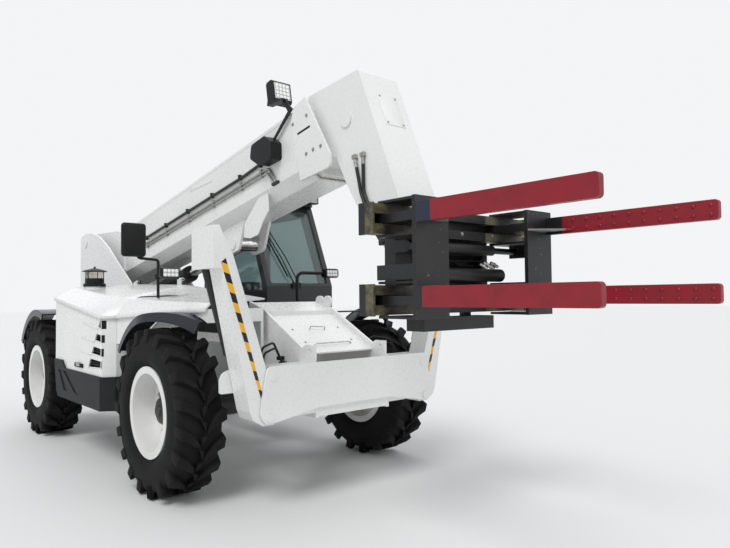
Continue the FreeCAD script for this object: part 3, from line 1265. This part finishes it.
apron_y1 = NOSE_SECTIONS[1][1] - size["panel_inset"]
apron_x0 = size["hood_corner"] - 2
wall_hood = size["hood_wall"]
apron = [
    (apron_x0, -apron_y0), (apron_front, -apron_y1), (apron_front, -apron_y1 + wall_hood), (apron_x0, -apron_y0 + wall_hood),
]
apron_low = 1150
apron_high = NOSE_SECTIONS[1][2] - seam_gap
pad(panels, "XY", closed_line(apron), apron_low, apron_high - apron_low)
front_face = box_line(apron_front - wall_hood, apron_front, -apron_y1 + 4, -size["frame_half"] - 60)
pad(panels, "XY", front_face, apron_low, apron_high - apron_low)
apron_start = CORNER_SECTIONS[1][2] - seam_gap
trim_line = [(apron_x0 - 1, apron_start), (apron_front, apron_high), (apron_front, 1800), (apron_x0 - 1, 1800)]
pocket(panels, "XZ", closed_line(trim_line), -size["frame_half"] - 59, size["hood_side"])
arch = ring(size["arch_ahead"], axle_z - size["arch_drop"], size["arch_radius"] - 3)
pocket(panels, "XZ", arch, -size["frame_half"] - 80, size["hood_side"])
for rear_top_x, rear_top_z, rear_foot_x, rear_foot_z, front_top_z, front_foot_z in VENTS:
    vent = [
        (rear_foot_x, rear_foot_z), (vent_front, front_foot_z), (vent_front, front_top_z), (rear_top_x, rear_top_z),
    ]
    pocket(panels, "XZ", closed_line(vent), -panel_y + size["hood_wall"] + 1, size["hood_wall"] + 2)
panels.Placement = home

cleaner = new_body("pre_cleaner")
CLEANER = [
    # radius, bottom, top
    (118, 0, 34),
    (100, 33, 180),
    (132, 179, 196),
    (96, 195, 222),
]
for radius, low_z, high_z in CLEANER:
    pad(cleaner, "XY", ring(cleaner_x, cleaner_y, radius), cleaner_foot + low_z, high_z - low_z)
cleaner.Placement = home


# Wheel arches: a curved sheet with an outer lip, cut to its outline in plan
def arch_sector(place, level, outer_r, inner_r, first, last, low_y, high_y):
    a = math.radians(first)
    b = math.radians(last)
    spots = []
    for radius in (outer_r, inner_r):
        for angle in (a, (a + b) / 2, b):
            spots.append(Vec(place + radius * math.cos(angle), low_y, level + radius * math.sin(angle)))
    edges = [
        Part.Arc(spots[0], spots[1], spots[2]).toShape(), Part.LineSegment(spots[2], spots[5]).toShape(),
        Part.Arc(spots[5], spots[4], spots[3]).toShape(), Part.LineSegment(spots[3], spots[0]).toShape(),
    ]
    return Part.Face(Part.Wire(edges)).extrude(Vec(0, high_y - low_y, 0))


def plan_prism(points, side):
    """Upright prism over an outline of (x, y, radius) given for the left side."""
    edges = [edge.toShape() for edge in round_line([(x, side * y, *more) for x, y, *more in points])]
    return Part.Face(Part.Wire(edges)).extrude(UP * 3000)


FENDERS = [
    # axle place, arch centre ahead of it and below it, radius, lip depth, first and last angle from straight ahead,
    # trim of the outer front corner along and across, inner edge at the rear and front end, stay ahead of the axle
    (0, size["arch_ahead"], size["arch_drop"], size["arch_radius"], size["arch_radius"] - size["arch_clear"] + 60, 65.5, 143.4,
     520, 270, NOSE_SECTIONS[0][1], NOSE_SECTIONS[1][1], 120),
    (rear_axle, 0, 0, size["fender_radius"], size["fender_lip"], 70, 150, 0, 0, size["fender_inner"], size["fender_inner"], -135),
]
shells = []
outer_edge_y = size["fender_outer"]
sheet_wall = size["fender_wall"]
for place, ahead, drop, outer_r, lip, first, last, trim_along, trim_across, inner_rear, inner_front, stay_ahead in FENDERS:
    for side_name, side in SIDES:
        reach_y = min(inner_rear, inner_front)
        low_y, high_y = sorted((side * reach_y, side * outer_edge_y))
        centre = place + ahead
        level = axle_z - drop
        skin = arch_sector(centre, level, outer_r, outer_r - lip, first, last, low_y, high_y)
        hollow = arch_sector(centre, level, outer_r - sheet_wall, outer_r - 2 * lip, first - 5, last + 5, low_y - 9, high_y + 9)
        wheel_room = Part.makeCylinder(size["arch_clear"], 3000, Vec(place, -1500, axle_z), ACROSS)
        nose = centre + outer_r * math.cos(math.radians(first)) + 5
        for wall_in, shape_name in ((0, "skin"), (sheet_wall, "hollow")):
            corner = outer_edge_y - wall_in
            far_back = place - outer_r - 50
            if trim_along:
                inner_line = [(size["hood_corner"] + 20, inner_rear + seam_gap), (size["hood_front"], inner_front + seam_gap)]
                outer_line = [(nose - wall_in, corner - trim_across, 60), (nose - trim_along - wall_in / 2, corner, 300)]
                line = inner_line + outer_line + [(size["hood_corner"] + 20, corner)]
            else:
                line = [(far_back, reach_y), (nose + 60, reach_y), (nose + 60, corner), (far_back, corner)]
            prism = plan_prism(line, side)
            if shape_name == "skin":
                skin = skin.common(prism)
            else:
                hollow = hollow.common(prism)
        shell = skin.cut(hollow)
        if trim_along:
            shell = shell.cut(wheel_room)
        stay_x = place + stay_ahead
        reach = size["frame_half"] + (0 if place == 0 else size["tower_plate"]) + 0.3
        stay_top = level + math.sqrt(outer_r ** 2 - (abs(stay_x - centre) + 30) ** 2) - 9
        stay_end = (inner_rear + inner_front) / 2 + 60
        stay_y = sorted((side * reach, side * stay_end))
        tab_y = sorted((side * (stay_end - 60), side * stay_end))
        stay = Part.makeBox(60, stay_y[1] - stay_y[0], 14, Vec(stay_x - 30, stay_y[0], stay_top - 26))
        tab = Part.makeBox(60, 60, 26, Vec(stay_x - 30, tab_y[0], stay_top - 26))
        solid = shell.multiFuse([stay, tab]).removeSplitter()
        shells.extend(solid.Solids)
new_shape("fenders", shells).Placement = home

# Lamp arms with their lamps, mirror, and the cab's work lamps
arm_y = 470
lamp_x = size["lamp_x"]
lamp_y = size["lamp_y"]
lamp_z = size["lamp_z"]
tube = size["lamp_tube"]
bend_radius = 70
corner = bend_radius * (1 - math.sqrt(0.5))
foot_z = 1150
path = Part.Wire([
    Part.LineSegment(Vec(lamp_x, arm_y, foot_z), Vec(lamp_x, arm_y, lamp_z - bend_radius)).toShape(),
    Part.Arc(Vec(lamp_x, arm_y, lamp_z - bend_radius), Vec(lamp_x, arm_y + corner, lamp_z - corner),
             Vec(lamp_x, arm_y + bend_radius, lamp_z)).toShape(),
    Part.LineSegment(Vec(lamp_x, arm_y + bend_radius, lamp_z), Vec(lamp_x, lamp_y - 60, lamp_z)).toShape(),
])
circle = Part.Wire([Part.Circle(Vec(lamp_x, arm_y, foot_z), UP, tube).toShape()])
bent = path.makePipeShell([circle], True, False)
arm = Part.Solid(bent) if bent.ShapeType != "Solid" else bent
foot = Part.makeBox(90, arm_y + 40 - size["frame_half"] - 0.3, 70, Vec(lamp_x - 45, size["frame_half"] + 0.3, foot_z - 60))


def lamp_head(x, y, z):
    head = Part.makeBox(80, 170, 96, Vec(x - 30, y - 85, z - 48))
    return head.makeFillet(30, [edge for edge in head.Edges if abs(edge.tangentAt(0).x) > 0.9])


new_shape("lamp_arm_left", fused([arm, foot, lamp_head(lamp_x, lamp_y, lamp_z)])).Placement = home

# Mirror on its bent post, with the right lamp on the same post
mirror_x, mirror_y, mirror_z = -620, -1150, 2090
post_y = -900
post_radius = 14
half_wide = size["mirror_wide"] / 2
half_high = size["mirror_high"] / 2
post_foot = 1570.6
elbow_z = mirror_z - half_high - 70
post_line = [
    (mirror_x, post_y, post_foot), (mirror_x, post_y, elbow_z), (mirror_x, mirror_y + 40, elbow_z),
    (mirror_x, mirror_y + 40, mirror_z - half_high + 12),
]
post = line_solid(post_line, post_radius, 45)
glass_case = Part.makeBox(80, size["mirror_wide"], size["mirror_high"], Vec(mirror_x - 20, mirror_y - half_wide, mirror_z - half_high))
glass_case = glass_case.makeFillet(45, [edge for edge in glass_case.Edges if abs(edge.tangentAt(0).x) > 0.9])
right_lamp_x, right_lamp_z = -400, 1790
collar_z = 1740
collar_high = 44
collar_ring = Part.makeCylinder(30, collar_high, Vec(mirror_x, post_y, collar_z))
bracket = Part.makeBox(right_lamp_x - mirror_x, 26, 26, Vec(mirror_x, post_y - 13, collar_z + 9))
right_lamp = lamp_head(right_lamp_x, post_y, right_lamp_z)
new_shape("mirror", fused([post, glass_case, collar_ring, bracket, right_lamp])).Placement = home

lamps = new_body("work_lamps")
lamp_face = roof_front - 0.3
for across in (size["cab_inner"] + 170, size["cab_outer"] - 60):
    low_z = cab_top + 20
    front_x = lamp_face + 80.3
    pad(lamps, "YZ", box_line(across - 62, across + 62, low_z, low_z + 92, 14), roof_front + 0.3, 80)
    visor = box_line(roof_front + 0.3, front_x + 40, across - 70, across + 70, 12)
    pad(lamps, "XY", visor, low_z + 91, 10)
lamps.Placement = home

doc.recompute()

problems = []
for obj in doc.Objects:
    if "Invalid" in obj.State or "Error" in obj.State:
        problems.append(obj.Label + " " + str(obj.State))
for node in nodes:
    shape = node.Shape
    if shape.isNull() or not shape.isValid() or not shape.Solids:
        problems.append(node.Label + " has no valid solid")
if problems:
    raise SystemExit("\n".join(problems))

os.makedirs("parts", exist_ok=True)
for node in nodes:
    node.Shape.exportStep(os.path.join("parts", node.Label + ".step"))
    print(node.Label, len(node.Shape.Solids), round(node.Shape.Volume / 1e9, 4))
